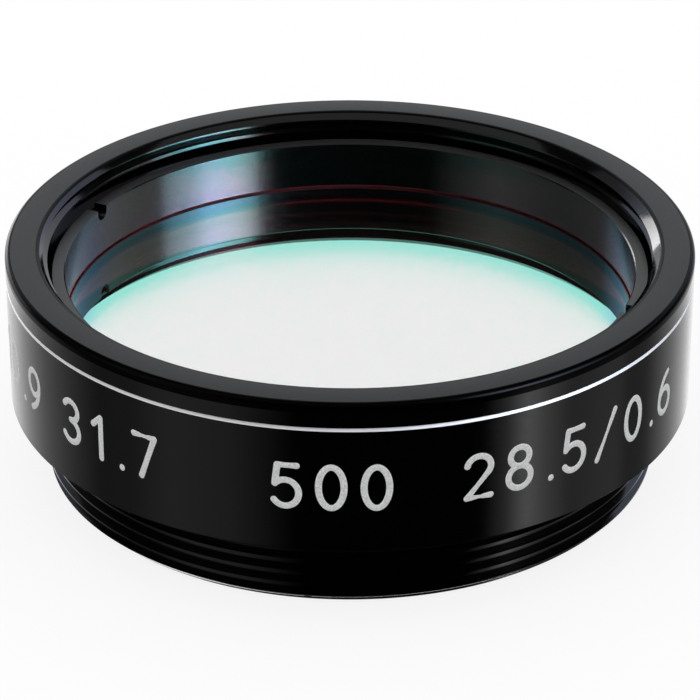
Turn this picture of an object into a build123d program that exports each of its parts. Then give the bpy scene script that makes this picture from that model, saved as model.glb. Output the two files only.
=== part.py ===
# Optical bandpass filter for 31.7 mm eyepiece barrels, in millimetres: a turned cell, a coated glass disc
# and the screwed ring that holds the disc on its seat. Nothing moves.
# +Z is the optical axis, towards the rim that takes another filter. The origin is at the centre of the foot,
# the end of the male thread on which the filter stands.
# The threads are plain walls here: male walls at the crest circle, female walls at the bore they are cut from.
import os
from math import cos, radians, sin

from build123d import *

# Thread that joins filters and eyepieces
thread_diameter = 28.5
thread_pitch = 0.6
bore_per_pitch = 1.0825

# Grip wall of the cell, which stands outside the thread's crest circle
wall_thickness = 1.6
wall_height = 7.3
rim_round = 0.25
shoulder_chamfer = 0.12
mark_groove_width = 0.14
mark_groove_below_rim = 1.23

# Male thread below the shoulder, with a run-out groove against the shoulder
male_thread_length = 3.6
foot_chamfer = 0.42
foot_bore_chamfer = 0.25
run_out_width = 0.5
run_out_depth = 0.5

# Female thread in the rim, with an undercut round the ring's face that parts it from the ring's thread
lead_in_width = 0.415
undercut_width = 0.55
undercut_below_ring_face = 0.31
undercut_clearance = 0.05

# Retaining ring
ring_recess = 1.24
ring_length = 2.35
ring_thread_step = 0.075
ring_clearance = 0.05
ring_grip = 0.45
ring_outer_chamfer = 0.08
ring_inner_chamfer = 0.05
ring_foot_chamfer = 0.15
ring_thread_overrun = 0.3

# Spanner slots in the ring's face: one straight pass of a round-nosed cutter, a little off the centre
slot_width = 0.8
slot_depth = 0.6
slot_direction = 156.75
slot_offset = 0.64

# Glass disc and the seat that it lies on
glass_thickness = 2.0
glass_clearance = 0.05
glass_pocket_step = 0.2
glass_bevel = 0.12
seat_width = 0.6

# Radii, from the thread outwards and inwards
thread_radius = thread_diameter / 2
wall_radius = thread_radius + wall_thickness
thread_bore_radius = thread_radius - bore_per_pitch * thread_pitch / 2
undercut_radius = thread_radius + undercut_clearance
ring_bore_radius = thread_bore_radius - ring_thread_step
ring_radius = ring_bore_radius - ring_clearance
pocket_radius = ring_bore_radius - glass_pocket_step
glass_radius = pocket_radius - glass_clearance
ring_opening_radius = glass_radius - ring_grip
clear_radius = glass_radius - seat_width

# Heights above the foot
shoulder_height = male_thread_length
rim_height = shoulder_height + wall_height
ring_face_height = rim_height - ring_recess
glass_face_height = ring_face_height - ring_length
ring_thread_end = glass_face_height - ring_thread_overrun
seat_height = glass_face_height - glass_thickness
mark_groove_height = rim_height - mark_groove_below_rim
undercut_foot = ring_face_height - undercut_below_ring_face

on_foot = (Align.CENTER, Align.CENTER, Align.MIN)
same_size = 0.001


def round_edge(part, radius, height):
    """The circular edge of a turned part that has this radius and lies at this height."""
    circles = part.edges().filter_by(GeomType.CIRCLE)
    return circles.filter_by(
        lambda edge: abs(edge.radius - radius) < same_size and abs(edge.arc_center.Z - height) < same_size
    )


# Filter cell: one turned piece, bored from the rim down to the seat and clear through
with BuildPart() as filter_cell:
    Cylinder(thread_radius, rim_height, align=on_foot)
    with Locations((0, 0, shoulder_height)):
        Cylinder(wall_radius, wall_height, align=on_foot)
    with Locations((0, 0, rim_height)):
        Hole(clear_radius)
        Hole(pocket_radius, depth=rim_height - seat_height)
        Hole(ring_bore_radius, depth=rim_height - ring_thread_end)
        Hole(thread_bore_radius, depth=rim_height - undercut_foot)

    # Grooves: run-out at the shoulder, undercut round the ring's face, bright mark line round the wall
    with BuildSketch(Plane.XZ):
        with BuildLine():
            Polyline(
                (thread_radius, shoulder_height),
                (thread_radius, shoulder_height - run_out_width - run_out_depth),
                (thread_radius - run_out_depth, shoulder_height - run_out_width),
                (thread_radius - run_out_depth, shoulder_height),
                close=True,
            )
        make_face()
        with Locations((thread_bore_radius, undercut_foot)):
            Rectangle(
                undercut_radius - thread_bore_radius,
                undercut_width,
                align=(Align.MIN, Align.MIN),
            )
        with Locations((wall_radius, mark_groove_height)):
            Rectangle(mark_groove_width / 2**0.5, mark_groove_width / 2**0.5, rotation=45)
    revolve(axis=Axis.Z, mode=Mode.SUBTRACT)

    # Broken edges
    fillet(round_edge(filter_cell, wall_radius, rim_height), rim_round)
    chamfer(round_edge(filter_cell, wall_radius, shoulder_height), shoulder_chamfer)
    chamfer(round_edge(filter_cell, thread_radius, 0), foot_chamfer)
    chamfer(round_edge(filter_cell, clear_radius, 0), foot_bore_chamfer)
    chamfer(round_edge(filter_cell, thread_bore_radius, rim_height), lead_in_width)

# Retaining ring: screwed down on the glass, with two slots for a pin spanner
slot_plane = Plane(
    origin=(0, 0, ring_face_height),
    x_dir=(-sin(radians(slot_direction)), cos(radians(slot_direction)), 0),
    z_dir=(cos(radians(slot_direction)), sin(radians(slot_direction)), 0),
)
with BuildPart() as retaining_ring:
    with Locations((0, 0, glass_face_height)):
        Cylinder(ring_radius, ring_length, align=on_foot)
    with Locations((0, 0, ring_face_height)):
        Hole(ring_opening_radius)
    chamfer(round_edge(retaining_ring, ring_radius, ring_face_height), ring_outer_chamfer)
    chamfer(round_edge(retaining_ring, ring_opening_radius, ring_face_height), ring_inner_chamfer)
    chamfer(round_edge(retaining_ring, ring_opening_radius, glass_face_height), ring_foot_chamfer)
    with BuildSketch(slot_plane):
        with Locations((-slot_offset, 0)):
            SlotOverall(2 * slot_depth, slot_width, rotation=90)
    extrude(amount=ring_radius, both=True, mode=Mode.SUBTRACT)

# Glass disc: plane faces, bevelled edges
with BuildPart() as filter_glass:
    with Locations((0, 0, seat_height)):
        Cylinder(glass_radius, glass_thickness, align=on_foot)
    chamfer(round_edge(filter_glass, glass_radius, glass_face_height), glass_bevel)
    chamfer(round_edge(filter_glass, glass_radius, seat_height), glass_bevel)

filter_cell.part.label = "filter_cell"
retaining_ring.part.label = "retaining_ring"
filter_glass.part.label = "filter_glass"

os.makedirs("parts", exist_ok=True)
export_step(filter_cell.part, "parts/filter_cell.step")
export_step(retaining_ring.part, "parts/retaining_ring.step")
export_step(filter_glass.part, "parts/filter_glass.step")
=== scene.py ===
from math import cos, hypot, pi, radians, sin, tan

import bpy
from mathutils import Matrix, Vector

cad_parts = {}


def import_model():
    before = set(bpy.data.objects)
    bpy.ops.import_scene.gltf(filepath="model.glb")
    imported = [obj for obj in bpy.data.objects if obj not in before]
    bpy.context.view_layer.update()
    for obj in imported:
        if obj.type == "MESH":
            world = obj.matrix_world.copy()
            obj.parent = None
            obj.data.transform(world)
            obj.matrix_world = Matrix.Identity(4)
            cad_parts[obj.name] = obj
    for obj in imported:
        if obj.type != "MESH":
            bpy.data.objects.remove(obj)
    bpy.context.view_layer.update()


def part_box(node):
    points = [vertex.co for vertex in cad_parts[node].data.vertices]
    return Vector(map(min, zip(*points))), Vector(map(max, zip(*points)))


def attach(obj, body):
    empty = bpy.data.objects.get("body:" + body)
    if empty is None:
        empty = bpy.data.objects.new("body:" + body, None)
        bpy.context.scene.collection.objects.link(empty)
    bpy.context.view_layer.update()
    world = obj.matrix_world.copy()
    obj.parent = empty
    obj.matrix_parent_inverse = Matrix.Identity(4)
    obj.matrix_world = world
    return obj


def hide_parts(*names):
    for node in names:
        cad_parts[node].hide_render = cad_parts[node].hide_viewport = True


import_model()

# Lengths are in millimetres, heights are above the foot, and radii are from the optical axis.
# Meshes are in metres.
MM = 0.001

# Sizes that the frame gives
cell_low, cell_high = (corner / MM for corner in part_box("filter_cell"))
ring_low, ring_high = (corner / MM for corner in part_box("retaining_ring"))
glass_low, glass_high = (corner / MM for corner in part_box("filter_glass"))
wall_radius = cell_high.x
rim_height = cell_high.z
ring_radius = ring_high.x
ring_face = ring_high.z
glass_radius = glass_high.x
glass_face = glass_high.z
seat_height = glass_low.z

# Grip wall
rim_round = 0.25
# Height of the wall band under the rim round that takes the painted-shade copy of the anodising
painted_shade_band = 0.2
shoulder_chamfer = 0.12
mark_groove_width = 0.17
mark_groove_height = rim_height - 1.23

# Threads: M28.5 x 0.6, right-handed
thread_pitch = 0.6
thread_radius = 14.25
thread_depth = 0.325
flank_angle = radians(30)
male_root_flat = thread_pitch / 4
female_root_flat = thread_pitch / 8
shoulder_height = 3.6
foot_chamfer = 0.42
foot_bore_chamfer = 0.25
run_out_width = 0.5
run_out_depth = 0.5
thread_bore_radius = 13.925
lead_in_width = 0.415
lead_in_round = 0.25
undercut_radius = 14.3
undercut_foot = ring_face - 0.31
undercut_width = 0.55
male_groove_at_front = 0.7
female_groove_at_back = rim_height - 0.5

# Bores of the cell, and the ring
ring_bore_radius = ring_radius + 0.05
ring_thread_end = glass_face - 0.3
pocket_radius = glass_radius + 0.05
ring_opening_radius = glass_radius - 0.45
clear_radius = glass_radius - 0.6
ring_outer_chamfer = 0.08
ring_inner_chamfer = 0.05
ring_foot_chamfer = 0.1
slot_width = 0.8
slot_depth = 0.6
slot_direction = 156.75
slot_offset = 0.64
glass_bevel = 0.12

# Numbers on the wall, standing a little proud of it
stroke_width = 0.3
stroke_rise = 0.012
number_height = 2.0
number_foot = rim_height - 5.05
number_width = 1.1

# How finely round things are made
SIDES = 384
THREAD_STEPS = 192
MERGE = 1e-5


# Modelling

def pick(piece):
    """Make one object the only one that operators act on."""
    bpy.ops.object.select_all(action="DESELECT")
    piece.select_set(True)
    bpy.context.view_layer.objects.active = piece


def open_edit(piece, select="SELECT"):
    pick(piece)
    bpy.ops.object.mode_set(mode="EDIT")
    bpy.ops.mesh.select_all(action=select)


def close_edit():
    bpy.ops.object.mode_set(mode="OBJECT")


def select_vertices(piece, chosen):
    """In edit mode, select the vertices whose place passes the test."""
    bpy.ops.mesh.select_mode(type="VERT")
    bpy.ops.mesh.select_all(action="DESELECT")
    close_edit()
    for vertex in piece.data.vertices:
        vertex.select = chosen(vertex.co / MM)
    bpy.ops.object.mode_set(mode="EDIT")


def turned(name, section):
    """A closed piece turned on a lathe: a circle drawn out and in along its section, (radius, height)."""
    radius, height = section[0]
    bpy.ops.object.select_all(action="DESELECT")
    bpy.ops.mesh.primitive_circle_add(vertices=SIDES, radius=radius * MM, location=(0, 0, height * MM))
    piece = bpy.context.object
    piece.name = name
    bpy.ops.object.transform_apply(location=True, rotation=False, scale=False)
    open_edit(piece)
    for next_radius, next_height in section[1:] + section[:1]:
        bpy.ops.mesh.extrude_region_move(
            TRANSFORM_OT_translate={"value": (0, 0, (next_height - height) * MM)}
        )
        scale = next_radius / radius
        bpy.ops.transform.resize(value=(scale, scale, 1), center_override=(0, 0, 0))
        radius, height = next_radius, next_height
    bpy.ops.mesh.select_all(action="SELECT")
    bpy.ops.mesh.remove_doubles(threshold=MERGE * MM)
    bpy.ops.mesh.normals_make_consistent(inside=False)
    close_edit()
    return piece


def thread_cutter(mouth_radius, root_radius, root_width, low, high):
    """The path of a thread tool: a tapered section wound into a right-handed helix about the axis."""
    depth = abs(root_radius - mouth_radius)
    mouth_width = root_width + 2 * depth * tan(flank_angle)
    outwards = root_radius > mouth_radius
    bpy.ops.object.select_all(action="DESELECT")
    bpy.ops.mesh.primitive_plane_add(size=MM)
    cutter = bpy.context.object
    open_edit(cutter)
    bpy.ops.transform.rotate(value=pi / 2, orient_axis="X", center_override=(0, 0, 0))
    bpy.ops.transform.resize(value=(depth, 1, mouth_width), center_override=(0, 0, 0))
    select_vertices(cutter, lambda place: (place.x > 0) == outwards)
    bpy.ops.transform.resize(value=(1, 1, root_width / mouth_width), center_override=(0, 0, 0))
    bpy.ops.mesh.select_all(action="SELECT")
    middle = (mouth_radius + root_radius) / 2
    bpy.ops.transform.translate(value=(middle * MM, 0, low * MM))
    bpy.ops.mesh.delete(type="ONLY_FACE")
    close_edit()
    turns = (high - low) / thread_pitch
    bpy.ops.object.modifier_add(type="SCREW")
    screw = cutter.modifiers[-1]
    screw.axis = "Z"
    screw.angle = 2 * pi * turns
    screw.screw_offset = (high - low) * MM
    screw.steps = round(THREAD_STEPS * turns)
    screw.render_steps = screw.steps
    bpy.ops.object.modifier_apply(modifier=screw.name)
    open_edit(cutter)
    bpy.ops.mesh.remove_doubles(threshold=MERGE * MM)
    bpy.ops.mesh.fill_holes(sides=4)
    bpy.ops.mesh.normals_make_consistent(inside=False)
    close_edit()
    return cutter


def cut(piece, cutter):
    """Take the cutter's volume away from the piece, and the cutter with it."""
    pick(piece)
    bpy.ops.object.modifier_add(type="BOOLEAN")
    boolean = piece.modifiers[-1]
    boolean.operation = "DIFFERENCE"
    boolean.solver = "EXACT"
    boolean.object = cutter
    bpy.ops.object.modifier_apply(modifier=boolean.name)
    bpy.data.objects.remove(cutter)


def smooth(piece, angle=30):
    pick(piece)
    bpy.ops.object.shade_smooth_by_angle(angle=radians(angle))


def finish_faces(piece, zones):
    """Give each face the material of the first zone whose test its radius and height pass."""
    for material, _ in zones:
        piece.data.materials.append(material)
    for face in piece.data.polygons:
        radius = hypot(face.center.x, face.center.y) / MM
        height = face.center.z / MM
        face.material_index = next(i for i, (_, test) in enumerate(zones) if test(radius, height))


# Pieces

def cell():
    """The turned cell: wall, mark groove, threads, bores and seat, as one piece."""
    rim_arc = [
        (wall_radius - rim_round + rim_round * cos(a), rim_height - rim_round + rim_round * sin(a))
        for a in (radians(d) for d in range(0, 91, 10))
    ]
    lead_in_top = thread_bore_radius + lead_in_width + lead_in_round * tan(pi / 8)
    lead_in_arc = [
        (lead_in_top - lead_in_round * sin(a), rim_height - lead_in_round + lead_in_round * cos(a))
        for a in (radians(d) for d in range(0, 46, 9))
    ]
    section = [
        (clear_radius + foot_bore_chamfer, 0),
        (thread_radius - foot_chamfer, 0),
        (thread_radius, foot_chamfer),
        (thread_radius, shoulder_height - run_out_width - run_out_depth),
        (thread_radius - run_out_depth, shoulder_height - run_out_width),
        (thread_radius - run_out_depth, shoulder_height),
        (wall_radius - shoulder_chamfer, shoulder_height),
        (wall_radius, shoulder_height + shoulder_chamfer),
        (wall_radius, mark_groove_height - mark_groove_width / 2),
        (wall_radius - mark_groove_width / 2, mark_groove_height),
        (wall_radius, mark_groove_height + mark_groove_width / 2),
        (wall_radius, rim_height - rim_round - painted_shade_band),
        *rim_arc,
        *lead_in_arc,
        (thread_bore_radius, rim_height - lead_in_width),
        (thread_bore_radius, undercut_foot + undercut_width),
        (undercut_radius, undercut_foot + undercut_width),
        (undercut_radius, undercut_foot),
        (ring_bore_radius, undercut_foot),
        (ring_bore_radius, ring_thread_end),
        (pocket_radius, ring_thread_end),
        (pocket_radius, seat_height),
        (clear_radius, seat_height),
        (clear_radius, foot_bore_chamfer),
    ]
    piece = turned("cell", section)
    overshoot = 0.04
    cut(piece, thread_cutter(
        mouth_radius=thread_radius + overshoot,
        root_radius=thread_radius - thread_depth,
        root_width=male_root_flat,
        low=male_groove_at_front - 2.75 * thread_pitch,
        high=shoulder_height - 0.4,
    ))
    cut(piece, thread_cutter(
        mouth_radius=thread_bore_radius - overshoot,
        root_radius=thread_bore_radius + thread_depth,
        root_width=female_root_flat,
        low=female_groove_at_back - 1.25 * thread_pitch,
        high=rim_height + thread_pitch,
    ))
    smooth(piece)
    groove_half = mark_groove_width / 2
    finish_faces(piece, [
        (bright_aluminium(), lambda r, z: r < wall_radius - 0.01 and r > wall_radius - 0.1
            and abs(z - mark_groove_height) < groove_half),
        (rim_anodising(), lambda r, z: z > rim_height - 0.001),
        # Rounded rim edge and the band under it: painted shade, a copy of the anodising that reflects less
        (edge_painted_shade_anodising(), lambda r, z: z > rim_height - rim_round - painted_shade_band and r > wall_radius - rim_round),
        # Inner lip: painted shade, a copy of the anodising that reflects less
        (lip_painted_shade_anodising(), lambda r, z: z > rim_height - lead_in_round * (1 - cos(pi / 4)) - 0.01),
        (wall_anodising(), lambda r, z: r > thread_radius + 0.3 and z > shoulder_height + 0.01),
        (thread_anodising(), lambda r, z: True),
    ])
    return piece


def ring():
    """The retaining ring, with its two spanner slots cut in one straight pass."""
    piece = turned("ring", [
        (ring_opening_radius + ring_foot_chamfer, glass_face),
        (ring_radius, glass_face),
        (ring_radius, ring_face - ring_outer_chamfer),
        (ring_radius - ring_outer_chamfer, ring_face),
        (ring_opening_radius + ring_inner_chamfer, ring_face),
        (ring_opening_radius, ring_face - ring_inner_chamfer),
        (ring_opening_radius, glass_face + ring_foot_chamfer),
    ])
    bpy.ops.object.select_all(action="DESELECT")
    bpy.ops.mesh.primitive_cylinder_add(vertices=48, radius=slot_width / 2 * MM, depth=2.2 * ring_radius * MM)
    cutter = bpy.context.object
    open_edit(cutter)
    bpy.ops.transform.rotate(value=pi / 2, orient_axis="Y", center_override=(0, 0, 0))
    bottom = ring_face - slot_depth + slot_width / 2
    bpy.ops.transform.translate(value=(0, slot_offset * MM, bottom * MM))
    select_vertices(cutter, lambda place: place.z > bottom - 1e-4)
    bpy.ops.transform.translate(value=(0, 0, slot_depth * MM))
    close_edit()
    cutter.rotation_euler.z = radians(slot_direction - 180)
    cut(piece, cutter)
    smooth(piece)
    finish_faces(piece, [
        (ring_face_anodising(), lambda r, z: z > ring_face - 0.001),
        # Ring foot chamfer: painted red light from the coating's edge in its base colour
        (ring_foot_painted_red_light(), lambda r, z: z < glass_face + ring_foot_chamfer - 0.01 and r < ring_radius - 0.1),
        (ring_anodising(), lambda r, z: True),
    ])
    return piece


def glass():
    """The filter disc: polished faces, ground bevels and edge."""
    bpy.ops.object.select_all(action="DESELECT")
    thickness = glass_face - seat_height
    bpy.ops.mesh.primitive_cylinder_add(
        vertices=SIDES,
        radius=glass_radius * MM,
        depth=thickness * MM,
        location=(0, 0, (seat_height + thickness / 2) * MM),
    )
    piece = bpy.context.object
    piece.name = "glass"
    bpy.ops.object.transform_apply(location=True, rotation=False, scale=False)
    open_edit(piece, select="DESELECT")
    bpy.ops.mesh.select_mode(type="FACE")
    close_edit()
    for face in piece.data.polygons:
        face.select = abs(face.normal.z) > 0.9
    bpy.ops.object.mode_set(mode="EDIT")
    bpy.ops.mesh.region_to_loop()
    bpy.ops.mesh.bevel(offset=glass_bevel * MM, segments=1, affect="EDGES")
    close_edit()
    smooth(piece)
    finish_faces(piece, [
        (front_coating(), lambda r, z: r < 1 and z > glass_face - 0.01),
        (back_coating(), lambda r, z: r < 1 and z < seat_height + 0.01),
        (ground_glass(), lambda r, z: True),
    ])
    return piece


# Numbers on the wall, as an engraver's single strokes in a box one high and half as wide

def line(*points):
    return [list(points)[i:i + 2] for i in range(len(points) - 1)]


def arc(centre, across, up, start, end):
    """Part of an ellipse, from one angle to another in degrees."""
    steps = max(3, round(abs(end - start) / 9))
    angles = [radians(start + (end - start) * i / steps) for i in range(steps + 1)]
    return [[(centre[0] + across * cos(a), centre[1] + up * sin(a)) for a in angles]]


def strokes_of(sign):
    """The strokes of one sign, each a list of points."""
    return {
        "0": lambda: arc((0.25, 0.5), 0.25, 0.5, 0, 360),
        "1": lambda: line((0.08, 0.78), (0.3, 1), (0.3, 0)),
        "2": lambda: arc((0.25, 0.74), 0.25, 0.26, 170, -35) + line((0.455, 0.59), (0, 0), (0.5, 0)),
        "5": lambda: line((0.46, 1), (0.08, 1), (0.03, 0.55)) + arc((0.23, 0.32), 0.27, 0.32, 138, -145),
        "6": lambda: arc((0.25, 0.3), 0.25, 0.3, 0, 360) + arc((0.55, 0.32), 0.55, 0.68, 180, 108),
        "7": lambda: line((0, 1), (0.5, 1), (0.17, 0)),
        "8": lambda: arc((0.25, 0.77), 0.21, 0.23, 0, 360) + arc((0.25, 0.27), 0.25, 0.27, 0, 360),
        "9": lambda: arc((0.25, 0.7), 0.25, 0.3, 0, 360) + arc((-0.05, 0.68), 0.55, 0.68, 0, -72),
        "3": lambda: arc((0.24, 0.77), 0.23, 0.23, 150, -90) + arc((0.24, 0.27), 0.26, 0.27, 90, -150),
        ".": lambda: line((0.1, 0), (0.1, 0.01)),
        "/": lambda: line((0, -0.04), (0.5, 1.04)),
    }[sign]()


def numbers():
    """Plain sizes on the wall: height and diameter, wavelength, thread."""
    groups = [("10.9", -22.6), ("31.7", -14.6), ("500", -3.3), ("28.5/0.6", 5.1)]
    step = 1.95
    narrow = {".": 0.95, "1": 1.7}
    curve = bpy.data.curves.new("numbers", "CURVE")
    curve.dimensions = "3D"
    curve.bevel_depth = stroke_width / 2 * MM
    curve.bevel_resolution = 3
    curve.use_fill_caps = True
    for text, along in groups:
        for sign in text:
            for stroke in strokes_of(sign):
                placed = [
                    Vector((along + number_width * 2 * x, number_foot + number_height * y, 0))
                    for x, y in stroke
                ]
                add_stroke(curve, placed)
            along += narrow.get(sign, step)
    piece = bpy.data.objects.new("numbers", curve)
    bpy.context.scene.collection.objects.link(piece)
    pick(piece)
    bpy.ops.object.convert(target="MESH")
    piece = bpy.context.object
    for vertex in piece.data.vertices:
        along, height, rise = vertex.co / MM
        turn = along / wall_radius - pi / 2
        radius = wall_radius + rise * stroke_rise / (stroke_width / 2)
        vertex.co = Vector((radius * cos(turn), radius * sin(turn), height)) * MM
    open_edit(piece)
    bpy.ops.mesh.normals_make_consistent(inside=False)
    close_edit()
    smooth(piece, 60)
    piece.data.materials.append(engraving())
    return piece


def add_stroke(curve, points):
    """One stroke of constant width with round ends, as a line whose radius falls away past both ends."""
    half = stroke_width / 2
    first = (points[0] - points[1]).normalized()
    last = (points[-1] - points[-2]).normalized()
    closed = (points[0] - points[-1]).length < 1e-6
    spline = curve.splines.new("POLY")
    if closed:
        places = [(p, 1) for p in points[:-1]]
        spline.use_cyclic_u = True
    else:
        cap = [(sin(radians(a)), cos(radians(a))) for a in (80, 60, 40, 20)]
        places = [(points[0] + first * half * out, size) for out, size in cap]
        places += [(p, 1) for p in points]
        places += [(points[-1] + last * half * out, size) for out, size in reversed(cap)]
    spline.points.add(len(places) - 1)
    for point, (place, size) in zip(spline.points, places):
        point.co = (*(place * MM), 1)
        point.radius = size


# Materials

def new_material(name):
    material = bpy.data.materials.new(name)
    material.use_nodes = True
    nodes = material.node_tree.nodes
    return material, nodes, material.node_tree.links, nodes["Principled BSDF"]


def add_noise(nodes, links, scale, detail, stretch=(1, 1, 1)):
    """A noise on Object coordinates, its scale per millimetre, drawn out along the axes by stretch."""
    place = nodes.new("ShaderNodeTexCoord")
    mapping = nodes.new("ShaderNodeMapping")
    mapping.inputs["Scale"].default_value = [scale / MM / s for s in stretch]
    noise = nodes.new("ShaderNodeTexNoise")
    noise.inputs["Scale"].default_value = 1
    noise.inputs["Detail"].default_value = detail
    links.new(place.outputs["Object"], mapping.inputs["Vector"])
    links.new(mapping.outputs["Vector"], noise.inputs["Vector"])
    return noise


def vary(nodes, links, source, low, high, target):
    """Lead a noise to a socket as a value between low and high."""
    spread = nodes.new("ShaderNodeMapRange")
    spread.inputs["From Min"].default_value = 0.3
    spread.inputs["From Max"].default_value = 0.7
    spread.inputs["To Min"].default_value = low
    spread.inputs["To Max"].default_value = high
    links.new(source, spread.inputs["Value"])
    links.new(spread.outputs["Result"], target)


def anodised(name, shade, index, rough_low, rough_high, grain, grain_stretch, depth):
    """Black anodised aluminium with the fine marks of the tool under it, a few micrometres deep."""
    material, nodes, links, shader = new_material(name)
    shader.inputs["Base Color"].default_value = (shade, shade, shade * 1.05, 1)
    shader.inputs["IOR"].default_value = index
    marks = add_noise(nodes, links, grain, 2, grain_stretch)
    vary(nodes, links, marks.outputs["Fac"], rough_low, rough_high, shader.inputs["Roughness"])
    relief = nodes.new("ShaderNodeBump")
    relief.inputs["Distance"].default_value = depth / 1000 * MM
    links.new(marks.outputs["Fac"], relief.inputs["Height"])
    links.new(relief.outputs["Normal"], shader.inputs["Normal"])
    return material


def wall_anodising():
    return anodised("wall_anodising", 0.0008, 1.5, 0.1, 0.16, 5, (3, 3, 0.6), 0.8)


def rim_anodising():
    return anodised("rim_anodising", 0.002, 1.33, 0.28, 0.36, 8, (1, 1, 1), 0.8)


def edge_painted_shade_anodising():
    # Painted shade: the same black anodising with a lower index, so the rounded edge and the band under it read
    # dark
    return anodised("edge_painted_shade_anodising", 0.0004, 1.13, 0.15, 0.22, 8, (1, 1, 1), 0.4)


def lip_painted_shade_anodising():
    """The inner lip: painted shade, a copy of the anodising that reflects less, so it reads darker than the face
    beside it.
    """
    return anodised("lip_painted_shade_anodising", 0.0004, 1.17, 0.3, 0.4, 8, (1, 1, 1), 0.4)


def thread_anodising():
    return anodised("thread_anodising", 0.0008, 1.5, 0.07, 0.13, 6, (1, 1, 1), 0.6)


def ring_anodising():
    return anodised("ring_anodising", 0.0008, 1.5, 0.12, 0.2, 5, (1, 1, 1), 3)


def ring_face_anodising():
    return anodised("ring_face_anodising", 0.02, 1.5, 0.35, 0.45, 9, (1, 1, 1), 0.6)


def ring_foot_painted_red_light():
    """The small chamfer above the glass, black anodising whose base colour is painted red for the light from the
    coating's edge.
    """
    material = anodised("ring_foot_painted_red_light", 0.1, 1.5, 0.4, 0.5, 9, (1, 1, 1), 0.6)
    # Painted light: a dark red base colour standing in for red light from the coating's edge
    material.node_tree.nodes["Principled BSDF"].inputs["Base Color"].default_value = (0.16, 0.03, 0.038, 1)
    return material


def bright_aluminium():
    """Bare metal where the mark line was cut after anodising."""
    material, nodes, links, shader = new_material("bright_aluminium")
    shader.inputs["Base Color"].default_value = (0.9, 0.9, 0.91, 1)
    shader.inputs["Metallic"].default_value = 0.3
    marks = add_noise(nodes, links, 3, 2, (4, 4, 0.2))
    vary(nodes, links, marks.outputs["Fac"], 0.35, 0.5, shader.inputs["Roughness"])
    return material


def engraving():
    """The pale, slightly grainy floor of the engraved numbers."""
    material, nodes, links, shader = new_material("engraving")
    shader.inputs["Roughness"].default_value = 0.6
    grain = add_noise(nodes, links, 12, 3)
    tone = nodes.new("ShaderNodeValToRGB")
    tone.color_ramp.elements[0].position = 0.35
    tone.color_ramp.elements[0].color = (0.72, 0.73, 0.73, 1)
    tone.color_ramp.elements[1].position = 0.6
    tone.color_ramp.elements[1].color = (0.94, 0.95, 0.95, 1)
    links.new(grain.outputs["Fac"], tone.inputs["Fac"])
    links.new(tone.outputs["Color"], shader.inputs["Base Color"])
    return material


def add_coating(name, passed, index):
    """A coated glass face: a mirror for one part of the light, and a way in for another part."""
    material, nodes, links, shader = new_material(name)
    nodes.remove(shader)
    mirror = nodes.new("ShaderNodeBsdfGlossy")
    mirror.inputs["Roughness"].default_value = 0
    window = nodes.new("ShaderNodeBsdfRefraction")
    window.inputs["Color"].default_value = (*passed, 1)
    window.inputs["Roughness"].default_value = 0
    window.inputs["IOR"].default_value = index
    both = nodes.new("ShaderNodeAddShader")
    links.new(mirror.outputs["BSDF"], both.inputs[0])
    links.new(window.outputs["BSDF"], both.inputs[1])
    links.new(both.outputs["Shader"], nodes["Material Output"].inputs["Surface"])
    return material, nodes, links, mirror, window


def mix_colours(nodes, links, amount, first, second):
    """Blend a colour output towards a plain colour."""
    blend = nodes.new("ShaderNodeMix")
    blend.data_type = "RGBA"
    links.new(amount, blend.inputs["Factor"])
    links.new(first, blend.inputs["A"])
    blend.inputs["B"].default_value = (*second, 1)
    return blend.outputs["Result"]


def front_coating():
    """Interference layers that mirror cyan, and shift to violet where they thin out near the rim."""
    material, nodes, links, mirror, window = add_coating("front_coating", (0.71, 0.24, 0.35), 2.6)
    cyan = nodes.new("ShaderNodeRGB")
    cyan.outputs["Color"].default_value = (0.29, 0.76, 0.65, 1)
    place = nodes.new("ShaderNodeTexCoord")
    flat = nodes.new("ShaderNodeVectorMath")
    flat.operation = "MULTIPLY"
    flat.inputs[1].default_value = (1 / MM, 1 / MM, 0)
    radius = nodes.new("ShaderNodeVectorMath")
    radius.operation = "LENGTH"
    links.new(place.outputs["Object"], flat.inputs[0])
    links.new(flat.outputs["Vector"], radius.inputs[0])
    thin = nodes.new("ShaderNodeMapRange")
    thin.inputs["From Min"].default_value = clear_radius - 1.4
    thin.inputs["From Max"].default_value = clear_radius - 0.5
    links.new(radius.outputs["Value"], thin.inputs["Value"])
    bare = nodes.new("ShaderNodeMapRange")
    bare.inputs["From Min"].default_value = clear_radius
    bare.inputs["From Max"].default_value = clear_radius + 0.1
    links.new(radius.outputs["Value"], bare.inputs["Value"])
    violet = mix_colours(nodes, links, thin.outputs["Result"], cyan.outputs["Color"], (0.3, 0.64, 0.71))
    rim = mix_colours(nodes, links, bare.outputs["Result"], violet, (0.4, 0.12, 0.12))
    links.new(rim, mirror.inputs["Color"])
    rest = nodes.new("ShaderNodeInvert")
    links.new(rim, rest.inputs["Color"])
    links.new(rest.outputs["Color"], window.inputs["Color"])
    return material


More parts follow.
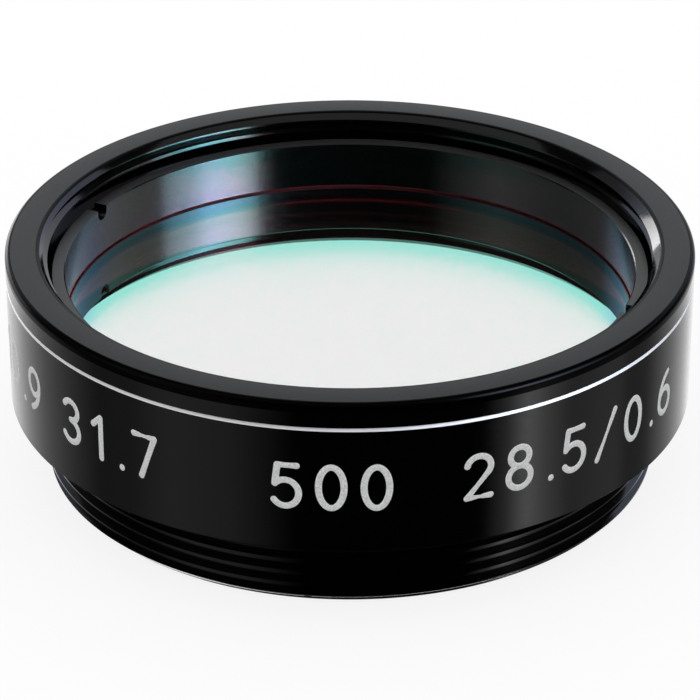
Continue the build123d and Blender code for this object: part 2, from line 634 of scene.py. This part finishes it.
def back_coating():
    """The rear mirror layers, with painted shade: an arc off centre where the mirror colour is darkened, only
    when seen at a slant.
    """
    material, nodes, links, mirror, window = add_coating("back_coating", (0.03, 0.12, 0.06), 1.5)
    mirror.inputs["Roughness"].default_value = 0.08
    # Painted shade: a dark arc in the mirror colour, off centre, faded in by the facing angle
    place = nodes.new("ShaderNodeTexCoord")
    away = nodes.new("ShaderNodeVectorMath")
    away.operation = "DISTANCE"
    away.inputs[1].default_value = (0, -4.9 * MM, seat_height * MM)
    links.new(place.outputs["Object"], away.inputs[0])
    span = nodes.new("ShaderNodeMapRange")
    span.inputs["From Min"].default_value = 12 * MM
    span.inputs["From Max"].default_value = 15 * MM
    links.new(away.outputs["Value"], span.inputs["Value"])
    shaded = nodes.new("ShaderNodeValToRGB")
    shaded.color_ramp.elements.remove(shaded.color_ramp.elements[1])
    shaded.color_ramp.elements[0].position = (12.5 - 12) / 3
    shaded.color_ramp.elements[0].color = (0, 0, 0, 1)
    for distance, tone in ((13.15, 0.88), (13.95, 0.88), (14.2, 0)):
        shaded.color_ramp.elements.new((distance - 12) / 3).color = (tone, tone, tone, 1)
    links.new(span.outputs["Result"], shaded.inputs["Fac"])
    slant = nodes.new("ShaderNodeLayerWeight")
    slanting = nodes.new("ShaderNodeMapRange")
    slanting.inputs["From Min"].default_value = 0.02
    slanting.inputs["From Max"].default_value = 0.05
    links.new(slant.outputs["Facing"], slanting.inputs["Value"])
    amount = nodes.new("ShaderNodeMath")
    amount.operation = "MULTIPLY"
    links.new(shaded.outputs["Color"], amount.inputs[0])
    links.new(slanting.outputs["Result"], amount.inputs[1])
    full = nodes.new("ShaderNodeRGB")
    full.outputs["Color"].default_value = (0.95, 0.94, 0.95, 1)
    strength = mix_colours(nodes, links, amount.outputs["Value"], full.outputs["Color"], (0, 0, 0))
    links.new(strength, mirror.inputs["Color"])
    return material


def ground_glass():
    """The matt ground edge of the disc."""
    material, nodes, links, shader = new_material("ground_glass")
    shader.inputs["Base Color"].default_value = (0.03, 0.03, 0.03, 1)
    grain = add_noise(nodes, links, 10, 2)
    vary(nodes, links, grain.outputs["Fac"], 0.5, 0.7, shader.inputs["Roughness"])
    return material


# Studio

camera_elevation = 28.02
camera_distance = 163.3
aim_height = rim_height - 5.82
focal_length = 179.37


def camera():
    """The photograph's viewpoint, above the front of the object, which faces -Y."""
    data = bpy.data.cameras.new("camera")
    data.sensor_width = 36
    data.lens = focal_length
    data.clip_start = 0.01
    viewer = bpy.data.objects.new("camera", data)
    bpy.context.scene.collection.objects.link(viewer)
    tilt = radians(camera_elevation)
    viewer.location = Vector((
        0,
        -camera_distance * cos(tilt),
        aim_height + camera_distance * sin(tilt),
    )) * MM
    viewer.rotation_euler = (pi / 2 - tilt, 0, 0)
    bpy.context.scene.camera = viewer


def world():
    """A white surround to look at and to light by, and grey in reflections and through glass."""
    surround = bpy.data.worlds.new("surround")
    bpy.context.scene.world = surround
    surround.use_nodes = True
    nodes = surround.node_tree.nodes
    links = surround.node_tree.links
    path = nodes.new("ShaderNodeLightPath")
    mirrored = nodes.new("ShaderNodeMath")
    mirrored.operation = "MAXIMUM"
    links.new(path.outputs["Is Glossy Ray"], mirrored.inputs[0])
    links.new(path.outputs["Is Transmission Ray"], mirrored.inputs[1])
    level = nodes.new("ShaderNodeMapRange")
    level.inputs["To Min"].default_value = 1
    level.inputs["To Max"].default_value = 0.4
    links.new(mirrored.outputs["Value"], level.inputs["Value"])
    nodes["Background"].inputs["Color"].default_value = (1, 1, 1, 1)
    links.new(level.outputs["Result"], nodes["Background"].inputs["Strength"])


def floor():
    """A white table, most of whose tone is kept in the object's shadow."""
    bpy.ops.object.select_all(action="DESELECT")
    bpy.ops.mesh.primitive_plane_add(size=4, location=(0, 0, -0.01 * MM))
    table = bpy.context.object
    table.name = "floor"
    material, nodes, links, shader = new_material("floor_white")
    nodes.remove(shader)
    plain = nodes.new("ShaderNodeBsdfDiffuse")
    plain.inputs["Color"].default_value = (0.16, 0.16, 0.16, 1)
    fill = nodes.new("ShaderNodeEmission")
    path = nodes.new("ShaderNodeLightPath")
    level = nodes.new("ShaderNodeMath")
    level.operation = "MULTIPLY"
    level.inputs[1].default_value = 0.84
    both = nodes.new("ShaderNodeAddShader")
    links.new(path.outputs["Is Camera Ray"], level.inputs[0])
    links.new(level.outputs["Value"], fill.inputs["Strength"])
    links.new(plain.outputs["BSDF"], both.inputs[0])
    links.new(fill.outputs["Emission"], both.inputs[1])
    links.new(both.outputs["Shader"], nodes["Material Output"].inputs["Surface"])
    table.data.materials.append(material)
    table.visible_glossy = False
    table.visible_transmission = False


def screen(name, azimuths, elevations, distance, strength, stops):
    """A curved studio screen that only shows in reflections.

    It covers the directions given in degrees, as seen from the object, and its tone goes from stop to
    stop, each an azimuth and a tone.
    """
    across = max(4, round(abs(azimuths[1] - azimuths[0]) / 4))
    up = max(4, round(abs(elevations[1] - elevations[0]) / 4))
    bpy.ops.object.select_all(action="DESELECT")
    bpy.ops.mesh.primitive_grid_add(x_subdivisions=across, y_subdivisions=up, size=2)
    piece = bpy.context.object
    piece.name = name
    for vertex in piece.data.vertices:
        azimuth = radians(azimuths[0] + (azimuths[1] - azimuths[0]) * (vertex.co.x + 1) / 2)
        elevation = radians(elevations[0] + (elevations[1] - elevations[0]) * (vertex.co.y + 1) / 2)
        vertex.co = Vector((
            cos(azimuth) * cos(elevation),
            sin(azimuth) * cos(elevation),
            sin(elevation),
        )) * distance * MM
    material, nodes, links, shader = new_material(name)
    nodes.remove(shader)
    place = nodes.new("ShaderNodeTexCoord")
    around = nodes.new("ShaderNodeTexGradient")
    around.gradient_type = "RADIAL"
    tones = nodes.new("ShaderNodeValToRGB")
    tones.color_ramp.elements.remove(tones.color_ramp.elements[1])
    for number, (azimuth, tone) in enumerate(stops):
        position = azimuth / 360 + 0.5
        if number:
            element = tones.color_ramp.elements.new(position)
        else:
            element = tones.color_ramp.elements[0]
            element.position = position
        element.color = (*tone, 1) if isinstance(tone, tuple) else (tone, tone, tone, 1)
    glow = nodes.new("ShaderNodeEmission")
    glow.inputs["Strength"].default_value = strength
    links.new(place.outputs["Object"], around.inputs["Vector"])
    links.new(around.outputs["Fac"], tones.inputs["Fac"])
    links.new(tones.outputs["Color"], glow.inputs["Color"])
    links.new(glow.outputs["Emission"], nodes["Material Output"].inputs["Surface"])
    piece.data.materials.append(material)
    piece.visible_camera = False
    piece.visible_diffuse = False
    piece.visible_shadow = False


def studio():
    bpy.context.scene.view_settings.view_transform = "Standard"
    camera()
    world()
    floor()
    screen("upper_screen", (-180, 180), (0, 48), 340, 1, [
        (-180, 0.35), (-155, 0.7), (-140, 0.4), (-125, 0), (-60, 0), (-50, 0.3), (0, 0.8), (25, 0.85),
        (44, (0.6, 0.7, 0.96)), (60, (0.68, 0.74, 0.96)), (74, (0.95, 0.98, 1)), (106, (0.95, 0.98, 1)),
        (118, (0.68, 0.74, 0.96)), (130, (0.5, 0.55, 0.7)), (140, 0.22), (165, 0.27), (180, 0.35),
    ])
    screen("lower_screen", (-180, 180), (-48, 0), 340, 1.4, [
        (-180, 0.07), (-165, 0.1), (-150, 0.21), (-130, 0.18), (-108, 0), (-46, 0), (-36, 0.15), (-18, 0.2),
        (0, 0.23), (7, 0.22), (14, 0.1), (24, 0.1), (42, 0.42), (66, 0.93), (100, 0.78), (124, 0.84), (150, 0.36),
        (165, 0.2), (180, 0.07),
    ])
    screen("rear_screen", (50, 130), (48, 68), 340, 1, [(50, 0.95)])
    screen("right_flag", (6, 46), (0, 20), 320, 1, [(6, 0.02), (32, 0.02), (46, 0.3)])
    screen("left_flag", (150, 176), (0, 20), 320, 1, [(150, 0.02)])
    screen("high_right_flag", (10, 70), (37, 78), 320, 1, [(10, 0.02)])
    screen("high_left_flag", (110, 170), (37, 78), 320, 1, [(110, 0.02)])
    screen("ceiling_flag", (-180, 180), (76, 90), 330, 1, [(0, 0)])
    screen("floor_flag", (-180, 180), (-90, -48), 330, 1, [(0, 0.07)])
    screen("softbox", (-52, -4), (12, 42), 300, 21.5, [
        (-52, 0.03), (-47, (0.38, 0.42, 0.48)), (-40, (0.58, 0.65, 0.79)), (-29, (0.63, 0.71, 1)),
        (-18, (0.27, 0.35, 0.44)), (-4, (0.13, 0.15, 0.18)),
    ])
    screen("side_softbox", (112, 150), (-4, 18), 300, 6, [(112, 1), (126, 0.7), (134, 0.33), (150, 0.25)])
    screen("low_strip", (-46, -14), (-48, -8), 300, 1.5, [
        (-46, 0), (-38, 0.25), (-31, 1), (-24, 0.5), (-14, 0.18),
    ])


studio()
for piece, node, slot in (
    (cell(), "filter_cell", "cell"),
    (ring(), "retaining_ring", "ring"),
    (glass(), "filter_glass", "glass"),
):
    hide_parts(node)
    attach(piece, "root")
marks = numbers()
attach(marks, "root")
